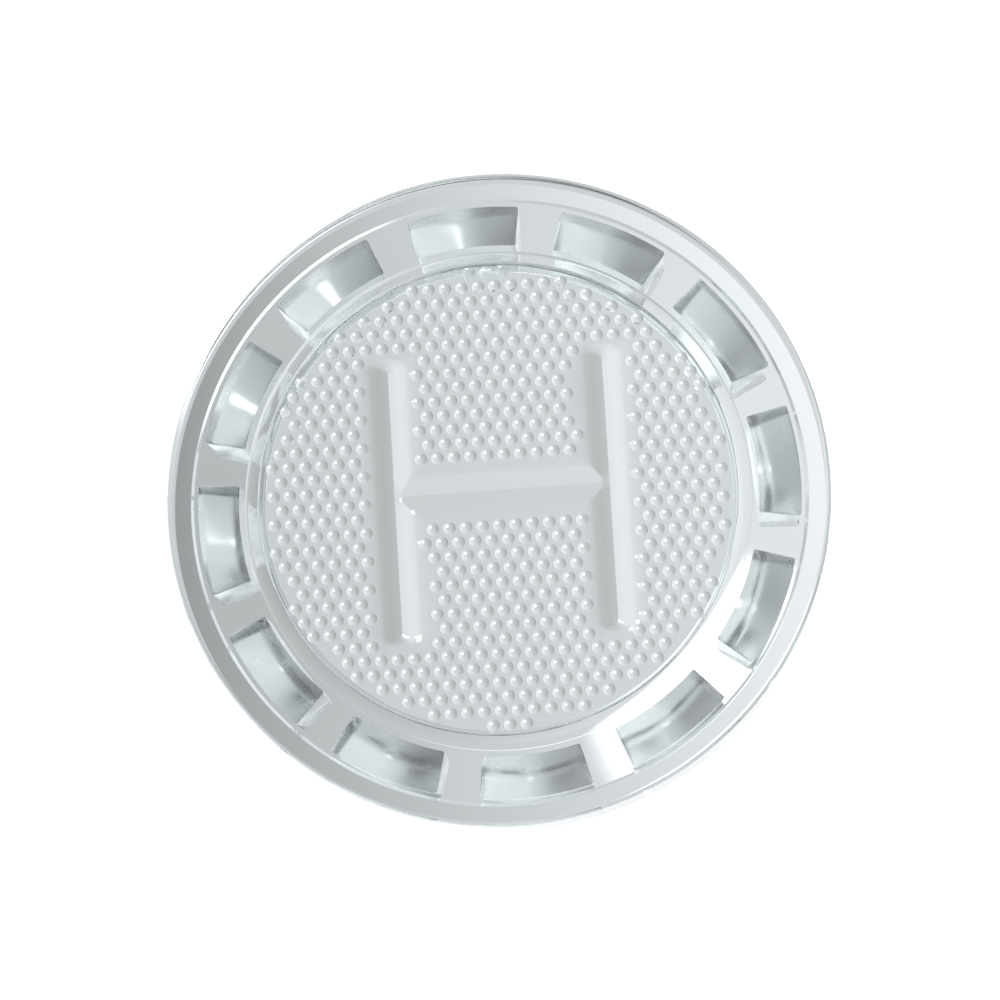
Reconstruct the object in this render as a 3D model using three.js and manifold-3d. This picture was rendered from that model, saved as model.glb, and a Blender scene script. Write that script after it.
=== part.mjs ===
// Clear snap-in index button for a tap handle, marked H for hot. Millimetres, +Z up.
//
// The button lies face up. Its origin is the middle of the plane that its finger tips stand on.
// A clear bezel ring carries the letter disc in a rebate in its face, and twelve snap fingers
// hang under the ring's conical underside, inside the seat round its foot. The letter stands
// upright along +Y.

import * as THREE from "three";
import * as BufferGeometryUtils from "three/addons/utils/BufferGeometryUtils.js";
import Module from "manifold-3d";

const wasm = await Module();
wasm.setup();

// Heights. The ring's underside falls in a shallow cone from behind the finger roots outward.
const FACE_Z = 6.35;
const RIM_THICKNESS = 2.0;
const SEAT_Z = FACE_Z - RIM_THICKNESS;
const CONE_TOP_Z = 5.35;
const CONE_FOOT_Z = 4.75;

// Bezel ring
const RIM_RADIUS = 31.75 / 2;
const RIM_EDGE_ROUND = 0.25;
const RIM_FOOT_BREAK = 0.1;
const SEAT_INNER_RADIUS = 15.5;
const CONE_FOOT_RADIUS = 14.65;
const LIP_BOTTOM_Z = 4.55;
const LIP_OUTER_RADIUS = 12.15;
const LIP_FLAT = 0.1;
const LIP_SLOPE_RADIUS = 11.35;
const LEDGE_RADIUS = 11.2;
const LEDGE_THICKNESS = 0.35;
const ROUND_SEGMENTS = 96;
const EDGE_ROUND_STEPS = 5;

// Letter disc
const DISC_RADIUS = 11.45;
const DISC_THICKNESS = 1.0;
const DISC_RECESS = 0.1;
const DISC_SIDE_GAP = 0.04;
const DISC_EDGE_BREAK = 0.12;

// Letter strokes, cut as V grooves with cone-shaped ends
const STROKE_WIDTH = 2.0;
const STROKE_DEPTH = 0.4;
const LETTER_HEIGHT = 14.0;
const LETTER_WIDTH = 12.3;
const LETTER_SHIFT_X = 0.2;
const LETTER_SHIFT_Y = 0.1;
const CROSSBAR_LIFT = 0.3;
const CUTTER_RISE = 0.5;
const CONE_SIDES = 20;

// Snap fingers
const FINGER_COUNT = 12;
const FINGER_SPAN_DEG = 21.8;
const FINGER_PHASE_DEG = 3.8;
const FINGER_INNER_RADIUS = 12.45;
const FINGER_OUTER_RADIUS = 14.45;
const FINGER_DRAFT = 0.35;
const ROOT_GAP = 0.02;
const BARB_DEPTH = 0.2;
const BARB_TOP_Z = 1.6;
const BARB_CREST_Z = 1.2;
const LEAD_IN_HEIGHT = 0.85;
const LEAD_IN_DEPTH = 1.6;
const TIP_INNER_BREAK = 0.2;
const TIP_LAND = 0.3;
const TIP_ARCH_HEIGHT = 1.1;
const TIP_ARCH_POWER = 1.3;
const TIP_ARCH_STEPS = 4;

// How far the finger's cutters reach past it, and working tolerances
const CUTTER_REACH = 18;
const CUTTER_MARGIN = 1;
const WELD_DISTANCE = 1e-4;
const CREASE_DEG = 25;

const radians = THREE.MathUtils.degToRad;

function point(x, y) {
  return new THREE.Vector2(x, y);
}

// A quarter round from the top face, at height top, to the outer wall at radius outer.
function edgeRound(outer, top, size) {
  const points = [];
  for (let step = 0; step <= EDGE_ROUND_STEPS; step += 1) {
    const turn = (Math.PI / 2) * (step / EDGE_ROUND_STEPS);
    const radius = outer - size + size * Math.sin(turn);
    const height = top - size + size * Math.cos(turn);
    points.push(point(radius, height));
  }
  return points;
}

// Turns a profile of (radius, height) points about Z. The points run clockwise round the section.
function turned(profile) {
  const outline = [...profile].reverse();
  const geometry = new THREE.LatheGeometry(outline, ROUND_SEGMENTS);
  geometry.rotateX(Math.PI / 2);
  return geometry;
}

// The geometry with shared vertices, so that it is one closed surface.
function welded(geometry) {
  const bare = geometry.clone();
  bare.deleteAttribute("normal");
  bare.deleteAttribute("uv");
  return BufferGeometryUtils.mergeVertices(bare, WELD_DISTANCE);
}

function toSolid(geometry) {
  const closed = welded(geometry);
  const vertProperties = new Float32Array(closed.attributes.position.array);
  const triVerts = new Uint32Array(closed.index.array);
  return new wasm.Manifold(new wasm.Mesh({ numProp: 3, vertProperties, triVerts }));
}

function toGeometry(solid) {
  const mesh = solid.getMesh();
  const geometry = new THREE.BufferGeometry();
  geometry.setAttribute("position", new THREE.BufferAttribute(mesh.vertProperties, 3));
  geometry.setIndex(new THREE.BufferAttribute(mesh.triVerts, 1));
  return BufferGeometryUtils.toCreasedNormals(geometry, radians(CREASE_DEG));
}

function clearPlastic(tint) {
  return new THREE.MeshStandardMaterial({
    color: tint,
    roughness: 0.08,
    metalness: 0,
    transparent: true,
    opacity: 0.35,
  });
}

function piece(name, geometry, tint) {
  const mesh = new THREE.Mesh(geometry, clearPlastic(tint));
  mesh.name = name;
  return mesh;
}

// The height of the ring's conical underside at a radius.
function coneHeight(radius) {
  const share = (radius - LIP_OUTER_RADIUS) / (CONE_FOOT_RADIUS - LIP_OUTER_RADIUS);
  return THREE.MathUtils.lerp(CONE_TOP_Z, CONE_FOOT_Z, share);
}

// The rim with the seat round its foot, the conical underside, the lip behind the finger roots
// and the ledge under the letter disc.
function bezelRing() {
  const mouthRadius = DISC_RADIUS + DISC_SIDE_GAP;
  const ledgeTop = FACE_Z - DISC_RECESS - DISC_THICKNESS;
  const ledgeBottom = ledgeTop - LEDGE_THICKNESS;
  const profile = [
    point(mouthRadius, FACE_Z),
    ...edgeRound(RIM_RADIUS, FACE_Z, RIM_EDGE_ROUND),
    point(RIM_RADIUS, SEAT_Z + RIM_FOOT_BREAK),
    point(RIM_RADIUS - RIM_FOOT_BREAK, SEAT_Z),
    point(SEAT_INNER_RADIUS, SEAT_Z),
    point(CONE_FOOT_RADIUS, CONE_FOOT_Z),
    point(LIP_OUTER_RADIUS, CONE_TOP_Z),
    point(LIP_OUTER_RADIUS, LIP_BOTTOM_Z),
    point(LIP_OUTER_RADIUS - LIP_FLAT, LIP_BOTTOM_Z),
    point(LIP_SLOPE_RADIUS, ledgeBottom),
    point(LEDGE_RADIUS, ledgeBottom),
    point(LEDGE_RADIUS, ledgeTop),
    point(mouthRadius, ledgeTop),
    point(mouthRadius, FACE_Z),
  ];
  return piece("bezel_ring", turned(profile), 0xe9eeee);
}

// A cutter for one stroke from start to end: a V-shaped bar with a cone at each end.
function strokeCutter(start, end) {
  const along = new THREE.Vector2().subVectors(end, start);
  const slope = STROKE_DEPTH / (STROKE_WIDTH / 2);
  const height = STROKE_DEPTH + CUTTER_RISE;
  const halfWidth = height / slope;

  const section = new THREE.Shape();
  section.moveTo(0, 0);
  section.lineTo(halfWidth, height);
  section.lineTo(-halfWidth, height);
  section.closePath();
  const bar = new THREE.ExtrudeGeometry(section, { depth: along.length(), bevelEnabled: false });
  bar.rotateX(Math.PI / 2);
  bar.rotateZ(Math.PI);

  const cone = new THREE.ConeGeometry(halfWidth, height, CONE_SIDES);
  cone.rotateX(-Math.PI / 2);
  cone.translate(0, 0, height / 2);
  const farCone = cone.clone().translate(0, along.length(), 0);

  const cutter = toSolid(bar).add(toSolid(cone)).add(toSolid(farCone));
  const turn = THREE.MathUtils.radToDeg(along.angle()) - 90;
  return cutter.rotate([0, 0, turn]).translate([start.x, start.y, 0]);
}

// The letter's strokes as pairs of groove ends. The grooves' own width makes up its full size.
function letterStrokes() {
  const x = (LETTER_WIDTH - STROKE_WIDTH) / 2;
  const y = (LETTER_HEIGHT - STROKE_WIDTH) / 2;
  return [
    [point(-x, -y), point(-x, y)],
    [point(x, -y), point(x, y)],
    [point(-x, CROSSBAR_LIFT), point(x, CROSSBAR_LIFT)],
  ];
}

// A round disc with the letter cut into its face. It rests on the ring's ledge.
function letterDisc() {
  const top = FACE_Z - DISC_RECESS;
  const bottom = top - DISC_THICKNESS;
  const blank = turned([
    point(0, top),
    point(DISC_RADIUS - DISC_EDGE_BREAK, top),
    point(DISC_RADIUS, top - DISC_EDGE_BREAK),
    point(DISC_RADIUS, bottom),
    point(0, bottom),
  ]);
  let disc = toSolid(blank);
  for (const [start, end] of letterStrokes()) {
    const place = [LETTER_SHIFT_X, LETTER_SHIFT_Y, top - STROKE_DEPTH];
    const cutter = strokeCutter(start, end).translate(place);
    disc = disc.subtract(cutter);
  }
  return piece("letter_disc", toGeometry(disc), 0xdfe6e6);
}

// The wedge about +X that a finger fills: a triangle from the axis, past the barb's crest.
function fingerWedge() {
  const halfWidth = CUTTER_REACH * Math.tan(radians(FINGER_SPAN_DEG / 2));
  const outline = new THREE.Shape();
  outline.moveTo(0, 0);
  outline.lineTo(CUTTER_REACH, -halfWidth);
  outline.lineTo(CUTTER_REACH, halfWidth);
  outline.closePath();
  const depth = FACE_Z + CUTTER_MARGIN;
  const wedge = new THREE.ExtrudeGeometry(outline, { depth, bevelEnabled: false });
  return wedge.translate(0, 0, -CUTTER_MARGIN);
}

// A bar along +X, wider than a finger, whose underside arches up on both sides of a narrow land.
function tipArch() {
  const halfFinger = FINGER_OUTER_RADIUS * Math.sin(radians(FINGER_SPAN_DEG / 2));
  const archWidth = halfFinger - TIP_LAND;
  const right = [];
  for (let step = 0; step <= TIP_ARCH_STEPS; step += 1) {
    const share = step / TIP_ARCH_STEPS;
    right.push(point(TIP_LAND + archWidth * share, TIP_ARCH_HEIGHT * share ** TIP_ARCH_POWER));
  }
  const wall = halfFinger + CUTTER_MARGIN;
  right.push(point(wall, TIP_ARCH_HEIGHT + CUTTER_MARGIN));
  right.push(point(wall, FACE_Z));
  const left = right.map((corner) => point(-corner.x, corner.y)).reverse();
  const outline = new THREE.Shape([...right, ...left]);
  const bar = new THREE.ExtrudeGeometry(outline, { depth: CUTTER_REACH, bevelEnabled: false });
  bar.rotateX(Math.PI / 2);
  return bar.rotateZ(Math.PI / 2);
}

// One finger about +X, cut out of a turned ring. Its outer face carries a barb, and its tip is
// bevelled and arched to lead it into the hole in the handle.
function fingerGeometry() {
  const barbRadius = FINGER_OUTER_RADIUS + BARB_DEPTH;
  const tipInnerRadius = FINGER_INNER_RADIUS + FINGER_DRAFT;
  const rootInner = point(FINGER_INNER_RADIUS, coneHeight(FINGER_INNER_RADIUS) - ROOT_GAP);
  const ring = turned([
    rootInner,
    point(FINGER_OUTER_RADIUS, coneHeight(FINGER_OUTER_RADIUS) - ROOT_GAP),
    point(FINGER_OUTER_RADIUS, BARB_TOP_Z),
    point(barbRadius, BARB_CREST_Z),
    point(barbRadius, LEAD_IN_HEIGHT),
    point(barbRadius - LEAD_IN_DEPTH, 0),
    point(tipInnerRadius + TIP_INNER_BREAK, 0),
    point(tipInnerRadius, TIP_INNER_BREAK),
    rootInner,
  ]);
  const finger = toSolid(ring).intersect(toSolid(fingerWedge()));
  return toGeometry(finger.intersect(toSolid(tipArch())));
}

function snapFingers() {
  const group = new THREE.Group();
  const geometry = fingerGeometry();
  for (let index = 0; index < FINGER_COUNT; index += 1) {
    const number = String(index + 1).padStart(2, "0");
    const finger = piece(`snap_finger_${number}`, geometry, 0xe4eaea);
    finger.rotation.z = radians(FINGER_PHASE_DEG + (360 * index) / FINGER_COUNT);
    group.add(finger);
  }
  return group;
}

const button = new THREE.Group();
button.add(bezelRing());
button.add(letterDisc());
button.add(snapFingers());

export default button;
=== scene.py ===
"""The looks of a clear snap-in index button for a tap handle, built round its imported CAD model.

Lengths are metres, in the CAD frame: the finger tips stand on z = 0, the face looks along +Z,
and the letter's top is towards +Y.
"""

import math

import bmesh
import bpy
from mathutils import Matrix, Vector
from mathutils.geometry import delaunay_2d_cdt

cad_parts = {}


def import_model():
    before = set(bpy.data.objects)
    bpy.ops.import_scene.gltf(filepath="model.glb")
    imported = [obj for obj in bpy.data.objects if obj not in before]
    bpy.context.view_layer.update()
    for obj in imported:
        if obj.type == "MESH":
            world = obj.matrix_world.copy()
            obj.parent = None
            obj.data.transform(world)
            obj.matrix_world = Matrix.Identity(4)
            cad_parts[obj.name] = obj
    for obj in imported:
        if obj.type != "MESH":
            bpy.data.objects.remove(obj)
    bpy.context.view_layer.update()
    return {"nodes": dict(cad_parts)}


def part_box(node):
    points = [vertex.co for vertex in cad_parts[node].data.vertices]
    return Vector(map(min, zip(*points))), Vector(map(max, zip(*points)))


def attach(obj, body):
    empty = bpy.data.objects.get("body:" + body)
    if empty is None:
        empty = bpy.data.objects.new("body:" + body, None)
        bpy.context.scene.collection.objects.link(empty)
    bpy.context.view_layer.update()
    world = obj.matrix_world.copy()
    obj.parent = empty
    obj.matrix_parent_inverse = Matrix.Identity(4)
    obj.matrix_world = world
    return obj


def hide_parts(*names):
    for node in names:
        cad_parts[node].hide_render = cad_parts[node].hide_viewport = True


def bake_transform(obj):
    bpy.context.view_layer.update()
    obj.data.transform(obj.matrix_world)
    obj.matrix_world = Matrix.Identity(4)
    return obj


MM = 0.001
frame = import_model()

# Camera
CAMERA_ELEVATION = 78.0
CAMERA_AZIMUTH = 14.9
CAMERA_UP_ANGLE = 86.6
CAMERA_DISTANCE = 0.290
CAMERA_LENS = 218.9
CAMERA_SENSOR = 36.0
CAMERA_TARGET = Vector((0.08, -0.11, 5.85)) * MM

# Light: a ramp across the studio, a brighter band near the horizon and one bright patch
BRIGHT_SIDE = 7.0
SIDE_REACH = 0.75
SIDE_DARK = 0.03
SIDE_BRIGHT = 1.4
HORIZON_LIGHT = 0.75
HORIZON_END = 0.65
HORIZON_FULL = 0.35
GLOW_SIDE = -45.0
GLOW_TILT = 9.5
GLOW_REACH = 5.0
GLOW_CORE = 2.0
GLOW_STRENGTH = 2.0
SKY_COLOUR = (0.97, 0.99, 1.0, 1)

# Softbox
SOFTBOX_AZIMUTH = -75
SOFTBOX_ELEVATION = 50
SOFTBOX_DISTANCE = 1.0
SOFTBOX_SIZE = 0.8
SOFTBOX_POWER = 1.6

# Floor
FLOOR_REACH = 1.5
FLOOR_COLOUR = (0.9, 0.9, 0.9, 1)
FLOOR_ROUGHNESS = 0.9
FLOOR_GLOW = 0.8

# Plastic
RING_TINT = (0.915, 0.95, 0.955)
# The disc's tint is the ring's tint made about 2% lighter: painted light that brightens the disc
DISC_TINT_WITH_PAINTED_LIGHT = (0.935, 0.968, 0.973)
FINGER_TINT = (0.9, 0.935, 0.94)
TINT_DEPTH = 0.97
REFRACTION = 1.49
CLOUD_SCALE = 260.0
CLOUD_DETAIL = 3.0
POLISH_SCALE = 900.0
POLISH_DETAIL = 4.0
POLISH_LEAST = 0.7
POLISH_MOST = 1.4
RIPPLE_DETAIL = 2.0
NOISE_LOW = 0.3
NOISE_HIGH = 0.7

# Each plastic's roughness, its ripple's features to the metre and its ripple's depth
SEAM_FINISH = (0.55, 900.0, 0.002 * MM)
RING_FINISH = (0.03, 420.0, 0.004 * MM)
DISC_FINISH = (0.04, 700.0, 0.003 * MM)
FINGER_FINISH = (0.2, 600.0, 0.006 * MM)

# Sizes that the CAD model's boxes give
ring_low, ring_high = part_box("bezel_ring")
disc_low, disc_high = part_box("letter_disc")
finger_names = sorted(name for name in frame["nodes"] if name.startswith("snap_finger_"))
RIM_RADIUS = ring_high.x
FACE_Z = ring_high.z
DISC_RADIUS = disc_high.x
DISC_TOP = disc_high.z
DISC_BOTTOM = disc_low.z
SEAT_Z = ring_low.z

# Bezel ring
RIM_ROUND = 0.25 * MM
FOOT_BREAK = 0.1 * MM
SEAT_INNER = 15.6 * MM
CONE_FOOT = 14.65 * MM
CONE_TOP_Z = 5.35 * MM
CONE_FOOT_Z = 4.75 * MM
FOOT_STEP_WIDTH = 0.14 * MM
FOOT_STEP_HEIGHT = 0.06 * MM
LIP_BOTTOM = 4.55 * MM
LIP_OUTER = 12.15 * MM
LIP_FLAT = 0.1 * MM
LIP_SLOPE = 11.35 * MM
LEDGE_RADIUS = 11.2 * MM
LEDGE_THICKNESS = 0.35 * MM
SMALL_CORNER = 0.05 * MM
LEDGE_CORNER = 0.1 * MM
DISC_SIDE_GAP = 0.01 * MM
SEAM_REACH = 0.06 * MM
UPRIGHT_LIMIT = 0.5
ROUND_SEGMENTS = 240

# Letter disc
LETTER_HEIGHT = 14.0 * MM
LETTER_WIDTH = 12.3 * MM
LETTER_CENTRE = Vector((0.2, 0.1)) * MM
STROKE_WIDTH = 2.0 * MM
STROKE_DEPTH = 0.4 * MM
CROSSBAR_DEPTH = 0.34 * MM
STROKE_END_STEEPNESS = 2.0
CROSSBAR_LIFT = 0.3 * MM
GROOVE_STRAIGHT = 0.7
GROOVE_EASED = 0.3
GROOVE_CELL = 0.2 * MM
GROOVE_HALF_CELLS = 5
MERGE_SCALE = 1.5
MITRE_STEPS = 6
MITRE_CLEARANCE = GROOVE_CELL / 3
BISECTION_STEPS = 30
STROKE_END_RINGS = 5
STROKE_END_SPOKES = 12
DOT_PITCH = 0.794 * MM
DOT_RADIUS = 0.31 * MM
DOT_HEIGHT = 0.12 * MM
DOT_ROW_TURN = -0.3
DOT_MARGIN = 0.05 * MM
EDGE_BREAK = 0.02 * MM
DISC_SEGMENTS = 240

# A dot's rings: the share of its radius, the number of points and the turn, in point spacings
DOT_RINGS = ((0.3, 6, 0.0), (0.55, 12, 0.5), (0.8, 12, 0.0), (1.0, 12, 0.5))

# Fingers
FINGER_SPAN = math.radians(21.8)
FINGER_PHASE = math.radians(3.8)
FINGER_STEP = math.radians(30.0)
FINGER_INNER = 12.45 * MM
FINGER_OUTER = 14.45 * MM
FINGER_DRAFT = 0.35 * MM
BARB_DEPTH = 0.2 * MM
BARB_TOP = 1.6 * MM
BARB_CREST = 1.2 * MM
BARB_CORNER = 0.3 * MM
TIP_CORNER = 0.15 * MM
FINGER_CORNER_STEPS = 6
LEAD_IN_HEIGHT = 0.85 * MM
LEAD_IN_DEPTH = 1.6 * MM
TIP_INNER_BREAK = 0.2 * MM
TIP_LAND = 0.3 * MM
TIP_ARCH = 1.4 * MM
TIP_ARCH_POWER = 1.3
JOINT_GAP = 0.015 * MM
LIFT_REACH = 3.0 * MM
FINGER_EDGE = 0.12 * MM
EDGE_STEPS = 3
FINGER_CELL = 0.3 * MM
FINGER_STEPS = 20


def link(name, mesh):
    """A new object in the scene for mesh."""
    piece = bpy.data.objects.new(name, mesh)
    bpy.context.scene.collection.objects.link(piece)
    return piece


def smooth(piece, limit=35.0):
    """Smooth shading that keeps edges sharper than limit degrees, with flat faces kept flat."""
    for face in piece.data.polygons:
        face.use_smooth = True
    piece.data.set_sharp_from_angle(angle=math.radians(limit))
    weighted = piece.modifiers.new("even_normals", "WEIGHTED_NORMAL")
    weighted.keep_sharp = True


def rounded(outline, sizes, steps=5):
    """The closed outline of (r, z) points with each corner rounded by its size."""
    points = []
    count = len(outline)
    for index, corner in enumerate(outline):
        size = sizes[index]
        here = Vector(corner)
        back = (Vector(outline[index - 1]) - here).normalized()
        ahead = (Vector(outline[(index + 1) % count]) - here).normalized()
        if size <= 0:
            points.append(here)
            continue
        half = math.acos(max(-1.0, min(1.0, back.dot(ahead)))) / 2
        reach = size / math.tan(half)
        middle = here + (back + ahead).normalized() * (size / math.sin(half))
        first = here + back * reach - middle
        last = here + ahead * reach - middle
        sweep = first.angle_signed(last)
        for step in range(steps + 1):
            turned = first.copy()
            turned.rotate(Matrix.Rotation(-sweep * step / steps, 2))
            points.append(middle + turned)
    return points


def lathe(name, outline, segments):
    """A closed outline of (r, z) points turned about the Z axis."""
    verts = []
    for turn in range(segments):
        angle = math.tau * turn / segments
        for r, z in outline:
            verts.append((r * math.cos(angle), r * math.sin(angle), z))
    count = len(outline)
    faces = []
    for turn in range(segments):
        near = turn * count
        far = (turn + 1) % segments * count
        for corner in range(count):
            other = (corner + 1) % count
            faces.append((near + corner, far + corner, far + other, near + other))
    mesh = bpy.data.meshes.new(name)
    mesh.from_pydata(verts, [], faces)
    outward(mesh)
    return link(name, mesh)


def outward(mesh):
    """Turns the mesh's faces to point out."""
    work = bmesh.new()
    work.from_mesh(mesh)
    bmesh.ops.recalc_face_normals(work, faces=work.faces)
    work.to_mesh(mesh)
    work.free()


def cone_height(radius):
    """The height of the ring's conical underside at radius."""
    share = (radius - LIP_OUTER) / (CONE_FOOT - LIP_OUTER)
    return CONE_TOP_Z + (CONE_FOOT_Z - CONE_TOP_Z) * share


def bezel_ring():
    """The flange with its rounded rim, its seat, the conical underside, the lip and the ledge."""
    mouth = DISC_RADIUS + DISC_SIDE_GAP
    ledge_bottom = DISC_BOTTOM - LEDGE_THICKNESS
    outline = [
        (mouth, FACE_Z),
        (RIM_RADIUS, FACE_Z),
        (RIM_RADIUS, SEAT_Z),
        (SEAT_INNER, SEAT_Z),
        (CONE_FOOT + FOOT_STEP_WIDTH, CONE_FOOT_Z + FOOT_STEP_HEIGHT),
        (CONE_FOOT, CONE_FOOT_Z),
        (LIP_OUTER, CONE_TOP_Z),
        (LIP_OUTER, LIP_BOTTOM),
        (LIP_OUTER - LIP_FLAT, LIP_BOTTOM),
        (LIP_SLOPE, ledge_bottom),
        (LEDGE_RADIUS, ledge_bottom),
        (LEDGE_RADIUS, DISC_BOTTOM),
        (mouth, DISC_BOTTOM),
    ]
    fine = SMALL_CORNER
    sizes = [fine, RIM_ROUND, FOOT_BREAK, fine, fine, fine, 0, 0, 0, LEDGE_CORNER, fine, fine, 0]
    piece = lathe("bezel", rounded(outline, sizes), ROUND_SEGMENTS)
    smooth(piece)
    return piece


def letter_strokes():
    """Each stroke of the letter: its groove's start, end and depth."""
    x = (LETTER_WIDTH - STROKE_WIDTH) / 2
    y = (LETTER_HEIGHT - STROKE_WIDTH / STROKE_END_STEEPNESS) / 2
    ends = [
        ((-x, -y), (-x, y), STROKE_DEPTH),
        ((x, -y), (x, y), STROKE_DEPTH),
        ((-x, CROSSBAR_LIFT), (x, CROSSBAR_LIFT), CROSSBAR_DEPTH),
    ]
    return [(LETTER_CENTRE + Vector(a), LETTER_CENTRE + Vector(b), depth) for a, b, depth in ends]


def distance_to(point, start, end):
    """How far point is from the line between start and end. Past its ends it counts for more."""
    along = (end - start).normalized()
    travel = (point - start).dot(along)
    aside = (point - start - along * travel).length
    past = max(0.0, -travel, travel - (end - start).length)
    return math.hypot(aside, past * STROKE_END_STEEPNESS)


def stroke_distance(point):
    """How far point is from the middle line of the nearest stroke."""
    return min(distance_to(point, start, end) for start, end, _ in letter_strokes())


def groove_profile(inside):
    """The share of a groove's depth at the share inside of the way from its edge to its middle."""
    eased = 0.5 - 0.5 * math.cos(math.pi * inside)
    return GROOVE_STRAIGHT * inside + GROOVE_EASED * eased


def groove_depth(point):
    """How deep the letter's soft groove is at point."""
    deepest = 0.0
    for start, end, depth in letter_strokes():
        inside = 1.0 - min(1.0, distance_to(point, start, end) / (STROKE_WIDTH / 2))
        deepest = max(deepest, depth * groove_profile(inside))
    return deepest


def leg_share(bar_share):
    """How far inside a leg's groove it is as deep as the crossbar is at bar_share."""
    wanted = groove_profile(bar_share) * CROSSBAR_DEPTH / STROKE_DEPTH
    low = 0.0
    high = 1.0
    for _ in range(BISECTION_STEPS):
        middle = (low + high) / 2
        if groove_profile(middle) < wanted:
            low = middle
        else:
            high = middle
    return low


def mitres():
    """The lines where the crossbar's walls meet the legs' walls, as rows of points."""
    half = STROKE_WIDTH / 2
    reach = (LETTER_WIDTH - STROKE_WIDTH) / 2
    rows = []
    for leg_side in (-1, 1):
        for bar_side in (-1, 1):
            row = []
            for step in range(MITRE_STEPS + 1):
                bar_share = step / MITRE_STEPS
                x = leg_side * (reach - half * (1 - leg_share(bar_share)))
                y = CROSSBAR_LIFT + bar_side * half * (1 - bar_share)
                row.append(LETTER_CENTRE + Vector((x, y)))
            rows.append(row)
    return rows


def dot_centres():
    """The centres of the stipple's dots: a triangular grid, clear of the letter and the edge."""
    turn = Matrix.Rotation(math.radians(DOT_ROW_TURN), 2)
    row_height = DOT_PITCH * math.sqrt(3) / 2
    reach = int(DISC_RADIUS / row_height) + 2
    limit = DISC_RADIUS - DOT_RADIUS - DOT_MARGIN
    clearance = STROKE_WIDTH / 2 + DOT_RADIUS + DOT_MARGIN
    centres = []
    for row in range(-reach, reach + 1):
        for column in range(-reach * 2, reach * 2 + 1):
            place = Vector((DOT_PITCH * (column + 0.5 * (row % 2)), row_height * row))
            place.rotate(turn)
            if place.length < limit and stroke_distance(place) > clearance:
                centres.append(place)
    return centres


def ring_points(centre, radius, count, turn=0.0):
    """count points round centre."""
    points = []
    for index in range(count):
        angle = math.tau * (index + turn) / count
        points.append(centre + radius * Vector((math.cos(angle), math.sin(angle))))
    return points


def face_points():
    """The disc's face: its points and their heights, and the lines that its triangles keep to.

    The first DISC_SEGMENTS points go round the face's edge.
    """
    plan = []
    heights = []

    def add(points, height_of):
        for point in points:
            plan.append(point)
            heights.append(height_of(point))

    add(ring_points(Vector((0, 0)), DISC_RADIUS - EDGE_BREAK, DISC_SEGMENTS), lambda p: 0.0)
    lines = [(index, (index + 1) % DISC_SEGMENTS) for index in range(DISC_SEGMENTS)]
    mitred = []
    for row in mitres():
        first = len(plan)
        add(row, lambda p: -groove_depth(p))
        lines += [(first + index, first + index + 1) for index in range(len(row) - 1)]
        mitred += row
    for centre in dot_centres():
        add([centre], lambda p: DOT_HEIGHT)
        for share, count, turn in DOT_RINGS:
            height = DOT_HEIGHT * (1 - share * share)
            add(ring_points(centre, DOT_RADIUS * share, count, turn), lambda p: height)
    half = STROKE_WIDTH / 2
    taken = set()
    for start, end, _ in letter_strokes():
        along = (end - start).normalized()
        across = Vector((-along.y, along.x))
        length = (end - start).length
        count = int(length / GROOVE_CELL)
        for index in range(count + 1):
            middle = start + along * (length * index / count)
            for cell in range(-GROOVE_HALF_CELLS, GROOVE_HALF_CELLS + 1):
                point = middle + across * (half * cell / GROOVE_HALF_CELLS)
                column = round(point.x / GROOVE_CELL * MERGE_SCALE)
                row = round(point.y / GROOVE_CELL * MERGE_SCALE)
                key = (column, row)
                if key in taken or min((point - other).length for other in mitred) < MITRE_CLEARANCE:
                    continue
                taken.add(key)
                add([point], lambda p: -groove_depth(p))
        for end_point, facing in ((start, -1), (end, 1)):
            for ring in range(1, STROKE_END_RINGS + 1):
                share = ring / STROKE_END_RINGS
                for index in range(1, STROKE_END_SPOKES):
                    angle = math.pi * index / STROKE_END_SPOKES
                    past = along * facing * math.sin(angle) / STROKE_END_STEEPNESS
                    offset = across * math.cos(angle) + past
                    add([end_point + offset * half * share], lambda p: -groove_depth(p))
    return plan, lines, heights


def letter_disc():
    """The disc with its stipple of dots and the grooved letter, as one closed mesh."""
    plan, lines, heights = face_points()
    result = delaunay_2d_cdt(plan, lines, [], 1, 1e-7, True)
    points, triangles, origins = result[0], result[2], result[3]
    verts = []
    for index, point in enumerate(points):
        source = origins[index]
        height = heights[source[0]] if source else -groove_depth(point)
        verts.append((point.x, point.y, DISC_TOP + height - DOT_HEIGHT))
    faces = [tuple(triangle) for triangle in triangles]
    rim_verts = [None] * DISC_SEGMENTS
    for index, source in enumerate(origins):
        for original in source:
            if original < DISC_SEGMENTS:
                rim_verts[original] = index
    shoulder = DISC_TOP - DOT_HEIGHT - EDGE_BREAK
    levels = ((DISC_RADIUS, shoulder), (DISC_RADIUS, DISC_BOTTOM + JOINT_GAP))
    above = rim_verts
    for radius, height in levels:
        below = list(range(len(verts), len(verts) + DISC_SEGMENTS))
        for point in ring_points(Vector((0, 0)), radius, DISC_SEGMENTS):
            verts.append((point.x, point.y, height))
        for index in range(DISC_SEGMENTS):
            other = (index + 1) % DISC_SEGMENTS
            faces.append((above[index], below[index], below[other], above[other]))
        above = below
    faces.append(tuple(reversed(above)))
    mesh = bpy.data.meshes.new("stippled_disc")
    mesh.from_pydata(verts, [], faces)
    outward(mesh)
    piece = link("stippled_disc", mesh)
    smooth(piece, 30.0)
    return piece


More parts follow.
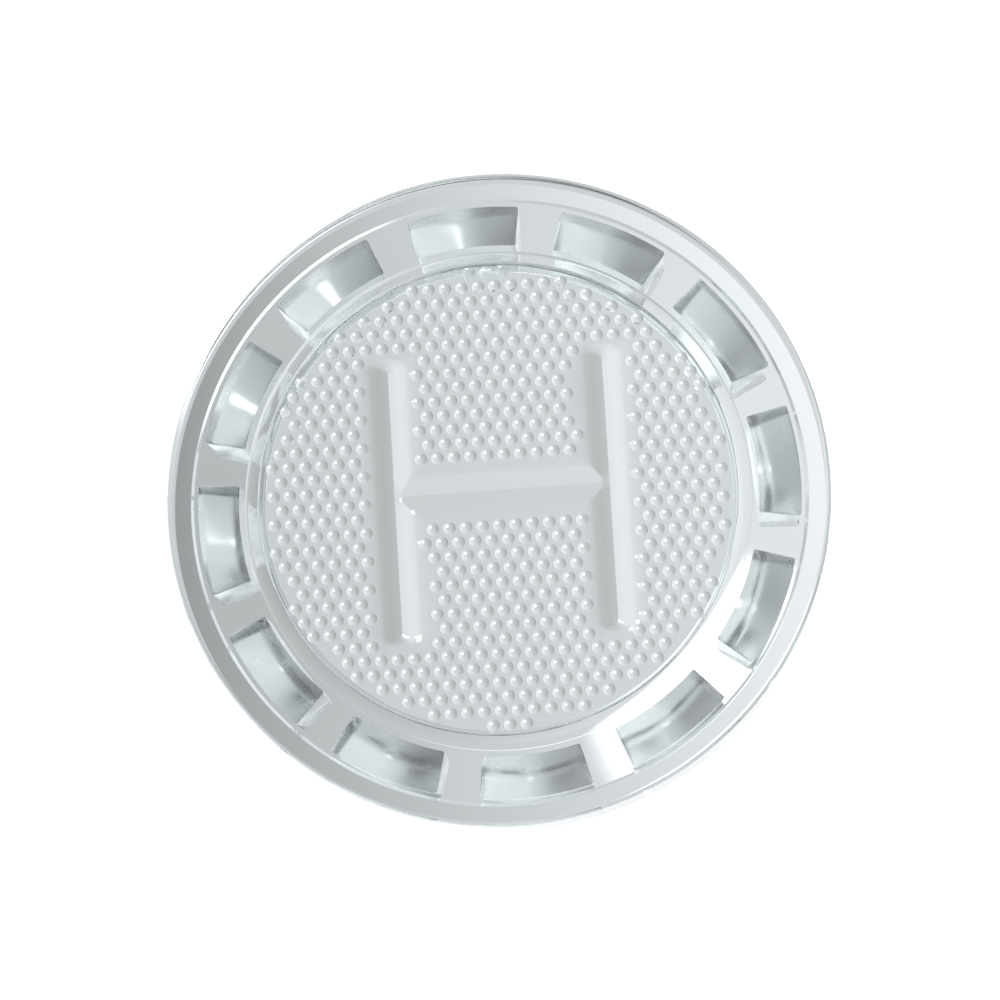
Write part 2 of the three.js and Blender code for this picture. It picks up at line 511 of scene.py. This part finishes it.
def finger_section():
    """A finger's section as (r, z) points, its straight lines cut up so that it can bend."""
    barb = FINGER_OUTER + BARB_DEPTH
    tip_inner = FINGER_INNER + FINGER_DRAFT
    outline = [
        (FINGER_INNER, cone_height(FINGER_INNER) - JOINT_GAP),
        (FINGER_OUTER, cone_height(FINGER_OUTER) - JOINT_GAP),
        (FINGER_OUTER, BARB_TOP),
        (barb, BARB_CREST),
        (barb, LEAD_IN_HEIGHT),
        (barb - LEAD_IN_DEPTH, 0),
        (tip_inner, TIP_INNER_BREAK),
    ]
    sizes = [0, 0, BARB_CORNER, BARB_CORNER, BARB_CORNER, TIP_CORNER, TIP_CORNER]
    section = rounded(outline, sizes, FINGER_CORNER_STEPS)
    points = []
    for index, here in enumerate(section):
        ahead = section[(index + 1) % len(section)]
        parts = max(1, math.ceil((ahead - here).length / FINGER_CELL))
        for part in range(parts):
            points.append(here.lerp(ahead, part / parts))
    return points


def tip_lift(turn):
    """How high the arched tip stands above its land, turn radians from the finger's middle."""
    half_width = FINGER_OUTER * math.sin(FINGER_SPAN / 2)
    offset = abs(FINGER_OUTER * math.sin(turn))
    share = max(0.0, offset - TIP_LAND) / (half_width - TIP_LAND)
    return TIP_ARCH * share**TIP_ARCH_POWER


def inset(section, distance):
    """The closed section with each point moved inwards by distance."""
    moved = []
    for index, here in enumerate(section):
        back = (here - section[index - 1]).normalized()
        ahead = (section[(index + 1) % len(section)] - here).normalized()
        inward = Vector((back.y + ahead.y, -back.x - ahead.x)).normalized()
        spread_out = max(0.5, inward.dot(Vector((ahead.y, -ahead.x))))
        moved.append(here + inward * distance / spread_out)
    return moved


def finger_slices():
    """The finger's slices from side to side: how far each is turned, and how far it is inset."""
    edge_turn = FINGER_EDGE / ((FINGER_INNER + FINGER_OUTER) / 2)
    flat = FINGER_SPAN / 2 - edge_turn
    rounding = []
    for step in range(EDGE_STEPS):
        angle = math.pi / 2 * step / EDGE_STEPS
        rounding.append((flat + edge_turn * math.cos(angle), FINGER_EDGE * (1 - math.sin(angle))))
    plain = [(flat * (2 * step / FINGER_STEPS - 1), 0.0) for step in range(FINGER_STEPS + 1)]
    return [(-turn, depth) for turn, depth in rounding] + plain + rounding[::-1]


def finger(number):
    """One snap finger: its section swept through its span, with the tip arched and edges rounded."""
    middle = FINGER_PHASE + FINGER_STEP * number
    section = finger_section()
    verts = []
    slices = finger_slices()
    for turn, depth in slices:
        lift = tip_lift(turn)
        for r, z in inset(section, depth):
            height = z + lift * max(0.0, 1 - z / LIFT_REACH)
            verts.append((r * math.cos(middle + turn), r * math.sin(middle + turn), height))
    count = len(section)
    faces = []
    for step in range(len(slices) - 1):
        for corner in range(count):
            other = (corner + 1) % count
            near = step * count
            far = near + count
            faces.append((near + corner, far + corner, far + other, near + other))
    last = (len(slices) - 1) * count
    faces.append(tuple(range(count)))
    faces.append(tuple(last + corner for corner in reversed(range(count))))
    name = f"finger_{number + 1:02d}"
    mesh = bpy.data.meshes.new(name)
    mesh.from_pydata(verts, [], faces)
    outward(mesh)
    piece = link(name, mesh)
    smooth(piece, 40.0)
    return piece


def scaled_noise(nodes, links, scale, detail):
    """A noise in the piece's own coordinates, scale features to the metre."""
    place = nodes.new("ShaderNodeTexCoord")
    noise = nodes.new("ShaderNodeTexNoise")
    noise.inputs["Scale"].default_value = scale
    noise.inputs["Detail"].default_value = detail
    links.new(place.outputs["Object"], noise.inputs["Vector"])
    return noise.outputs["Fac"]


def spread(nodes, links, value, low, high):
    """The value, spread from low to high."""
    ramp = nodes.new("ShaderNodeMapRange")
    ramp.inputs["From Min"].default_value = NOISE_LOW
    ramp.inputs["From Max"].default_value = NOISE_HIGH
    ramp.inputs["To Min"].default_value = low
    ramp.inputs["To Max"].default_value = high
    links.new(value, ramp.inputs["Value"])
    return ramp.outputs["Result"]


def clear_plastic(name, tint, finish):
    """Clear moulded plastic: tint clouds, uneven polish and the ripple that the mould leaves."""
    roughness, ripple_scale, ripple_depth = finish
    material = bpy.data.materials.new(name)
    material.use_nodes = True
    nodes = material.node_tree.nodes
    links = material.node_tree.links
    shader = nodes["Principled BSDF"]
    shader.inputs["IOR"].default_value = REFRACTION
    shader.inputs["Transmission Weight"].default_value = 1.0
    clouds = nodes.new("ShaderNodeMix")
    clouds.data_type = "RGBA"
    clouds.inputs["A"].default_value = (*tint, 1.0)
    clouds.inputs["B"].default_value = (*(channel * TINT_DEPTH for channel in tint), 1.0)
    links.new(scaled_noise(nodes, links, CLOUD_SCALE, CLOUD_DETAIL), clouds.inputs["Factor"])
    links.new(clouds.outputs["Result"], shader.inputs["Base Color"])
    polish = scaled_noise(nodes, links, POLISH_SCALE, POLISH_DETAIL)
    uneven = spread(nodes, links, polish, roughness * POLISH_LEAST, roughness * POLISH_MOST)
    links.new(uneven, shader.inputs["Roughness"])
    bump = nodes.new("ShaderNodeBump")
    bump.inputs["Strength"].default_value = 1.0
    bump.inputs["Distance"].default_value = ripple_depth
    links.new(scaled_noise(nodes, links, ripple_scale, RIPPLE_DETAIL), bump.inputs["Height"])
    links.new(bump.outputs["Normal"], shader.inputs["Normal"])
    return material


def frost_seam(piece, material):
    """Puts material on the piece's upright wall along the seam between the disc and the ring."""
    piece.data.materials.append(material)
    for face in piece.data.polygons:
        beside = abs(face.center.xy.length - DISC_RADIUS) < SEAM_REACH
        if beside and abs(face.normal.z) < UPRIGHT_LIMIT:
            face.material_index = 1


def dress(piece, material, node):
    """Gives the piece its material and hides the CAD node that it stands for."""
    piece.data.materials.clear()
    piece.data.materials.append(material)
    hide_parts(node)


def bend_from_ring(piece):
    """Applies the finger's modifiers and bakes its place into its mesh."""
    scene_now = bpy.context.evaluated_depsgraph_get()
    final = bpy.data.meshes.new_from_object(piece.evaluated_get(scene_now))
    piece.modifiers.clear()
    piece.data = final
    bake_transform(piece)


def toward_camera():
    """The direction from the button to the camera."""
    azimuth = math.radians(CAMERA_AZIMUTH)
    elevation = math.radians(CAMERA_ELEVATION)
    level = math.cos(elevation)
    return Vector((math.sin(azimuth) * level, -math.cos(azimuth) * level, math.sin(elevation)))


def camera():
    """The camera that looks at the button from the photo's angle."""
    data = bpy.data.cameras.new("camera")
    data.lens = CAMERA_LENS
    data.sensor_width = CAMERA_SENSOR
    data.clip_start = 0.001
    seen = bpy.data.objects.new("camera", data)
    bpy.context.scene.collection.objects.link(seen)
    away = toward_camera()
    up_angle = math.radians(CAMERA_UP_ANGLE)
    up = Vector((math.cos(up_angle), math.sin(up_angle), 0))
    side = up.cross(away).normalized()
    up = away.cross(side)
    turn = Matrix((side, up, away)).transposed().to_4x4()
    seen.matrix_world = Matrix.Translation(CAMERA_TARGET + away * CAMERA_DISTANCE) @ turn
    bpy.context.scene.camera = seen


def area_light(name, azimuth, elevation, distance, size, power):
    """A soft square light that shines on the button from azimuth degrees, counted from +X."""
    data = bpy.data.lights.new(name, "AREA")
    data.shape = "SQUARE"
    data.size = size
    data.energy = power
    lamp = bpy.data.objects.new(name, data)
    bpy.context.scene.collection.objects.link(lamp)
    turn = math.radians(azimuth)
    lift = math.radians(elevation)
    place = distance * Vector(
        (math.cos(turn) * math.cos(lift), math.sin(turn) * math.cos(lift), math.sin(lift))
    )
    lamp.location = place
    lamp.rotation_euler = place.to_track_quat("Z", "Y").to_euler()


def floor():
    """A pale sheet that gives off light. Rays that come through the plastic pass through it."""
    size = FLOOR_REACH
    mesh = bpy.data.meshes.new("floor")
    corners = [(-size, -size, 0), (size, -size, 0), (size, size, 0), (-size, size, 0)]
    mesh.from_pydata(corners, [], [(0, 1, 2, 3)])
    sheet = link("floor", mesh)
    material = bpy.data.materials.new("pale_floor")
    material.use_nodes = True
    nodes = material.node_tree.nodes
    links = material.node_tree.links
    shader = nodes["Principled BSDF"]
    shader.inputs["Base Color"].default_value = FLOOR_COLOUR
    shader.inputs["Roughness"].default_value = FLOOR_ROUGHNESS
    shader.inputs["Emission Color"].default_value = (1, 1, 1, 1)
    shader.inputs["Emission Strength"].default_value = FLOOR_GLOW
    clear = nodes.new("ShaderNodeBsdfTransparent")
    mix = nodes.new("ShaderNodeMixShader")
    path = nodes.new("ShaderNodeLightPath")
    links.new(path.outputs["Is Transmission Ray"], mix.inputs["Fac"])
    links.new(shader.outputs["BSDF"], mix.inputs[1])
    links.new(clear.outputs["BSDF"], mix.inputs[2])
    links.new(mix.outputs["Shader"], nodes["Material Output"].inputs["Surface"])
    mesh.materials.append(material)


def world():
    """The studio's light, which the camera itself sees as plain white.

    It grows from one side to the other, is brighter near the horizon, and has one bright patch
    whose place is worked out from the camera's.
    """
    sky = bpy.data.worlds.new("studio")
    sky.use_nodes = True
    nodes = sky.node_tree.nodes
    links = sky.node_tree.links
    background = nodes["Background"]
    place = nodes.new("ShaderNodeTexCoord")
    dot = nodes.new("ShaderNodeVectorMath")
    dot.operation = "DOT_PRODUCT"
    angle = math.radians(BRIGHT_SIDE)
    dot.inputs[1].default_value = (math.cos(angle), math.sin(angle), 0.0)
    links.new(place.outputs["Generated"], dot.inputs[0])
    ramp = nodes.new("ShaderNodeMapRange")
    ramp.inputs["From Min"].default_value = -SIDE_REACH
    ramp.inputs["From Max"].default_value = SIDE_REACH
    ramp.inputs["To Min"].default_value = SIDE_DARK
    ramp.inputs["To Max"].default_value = SIDE_BRIGHT
    links.new(dot.outputs["Value"], ramp.inputs["Value"])
    toward = nodes.new("ShaderNodeVectorMath")
    toward.operation = "DOT_PRODUCT"
    side = math.radians(GLOW_SIDE)
    aside = Vector((math.cos(side), math.sin(side), 0)) * math.tan(math.radians(GLOW_TILT))
    toward.inputs[1].default_value = (aside - toward_camera()).normalized()
    links.new(place.outputs["Generated"], toward.inputs[0])
    glow = nodes.new("ShaderNodeMapRange")
    glow.interpolation_type = "SMOOTHSTEP"
    glow.inputs["From Min"].default_value = math.cos(math.radians(GLOW_REACH))
    glow.inputs["From Max"].default_value = math.cos(math.radians(GLOW_CORE))
    glow.inputs["To Min"].default_value = 0.0
    glow.inputs["To Max"].default_value = GLOW_STRENGTH
    links.new(toward.outputs["Value"], glow.inputs["Value"])
    total = nodes.new("ShaderNodeMath")
    total.operation = "ADD"
    links.new(ramp.outputs["Result"], total.inputs[0])
    links.new(glow.outputs["Result"], total.inputs[1])
    height = nodes.new("ShaderNodeSeparateXYZ")
    links.new(place.outputs["Generated"], height.inputs[0])
    level = nodes.new("ShaderNodeMath")
    level.operation = "ABSOLUTE"
    links.new(height.outputs["Z"], level.inputs[0])
    horizon = nodes.new("ShaderNodeMapRange")
    horizon.interpolation_type = "SMOOTHSTEP"
    horizon.inputs["From Min"].default_value = HORIZON_END
    horizon.inputs["From Max"].default_value = HORIZON_FULL
    horizon.inputs["To Min"].default_value = 0.0
    horizon.inputs["To Max"].default_value = HORIZON_LIGHT
    links.new(level.outputs["Value"], horizon.inputs["Value"])
    brighter = nodes.new("ShaderNodeMath")
    brighter.operation = "MAXIMUM"
    links.new(total.outputs["Value"], brighter.inputs[0])
    links.new(horizon.outputs["Result"], brighter.inputs[1])
    path = nodes.new("ShaderNodeLightPath")
    plain = nodes.new("ShaderNodeMix")
    plain.data_type = "FLOAT"
    links.new(path.outputs["Is Camera Ray"], plain.inputs[0])
    links.new(brighter.outputs["Value"], plain.inputs[2])
    plain.inputs[3].default_value = 1.0
    links.new(plain.outputs[0], background.inputs["Strength"])
    background.inputs["Color"].default_value = SKY_COLOUR
    bpy.context.scene.world = sky


def main():
    bpy.context.scene.view_settings.view_transform = "Standard"
    camera()
    floor()
    world()
    area_light(
        "softbox",
        SOFTBOX_AZIMUTH,
        SOFTBOX_ELEVATION,
        SOFTBOX_DISTANCE,
        SOFTBOX_SIZE,
        SOFTBOX_POWER,
    )
    frost = clear_plastic("seam_frost", RING_TINT, SEAM_FINISH)
    ring = bezel_ring()
    ring_plastic = clear_plastic("ring_plastic", RING_TINT, RING_FINISH)
    dress(ring, ring_plastic, "bezel_ring")
    frost_seam(ring, frost)
    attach(ring, "button")
    disc = letter_disc()
    # The disc's plastic takes the lightened tint, which is painted light
    disc_plastic = clear_plastic("disc_plastic", DISC_TINT_WITH_PAINTED_LIGHT, DISC_FINISH)
    dress(disc, disc_plastic, "letter_disc")
    frost_seam(disc, frost)
    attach(disc, "button")
    finger_plastic = clear_plastic("finger_plastic", FINGER_TINT, FINGER_FINISH)
    for number, node in enumerate(finger_names):
        snap = finger(number)
        dress(snap, finger_plastic, node)
        bend_from_ring(snap)


main()
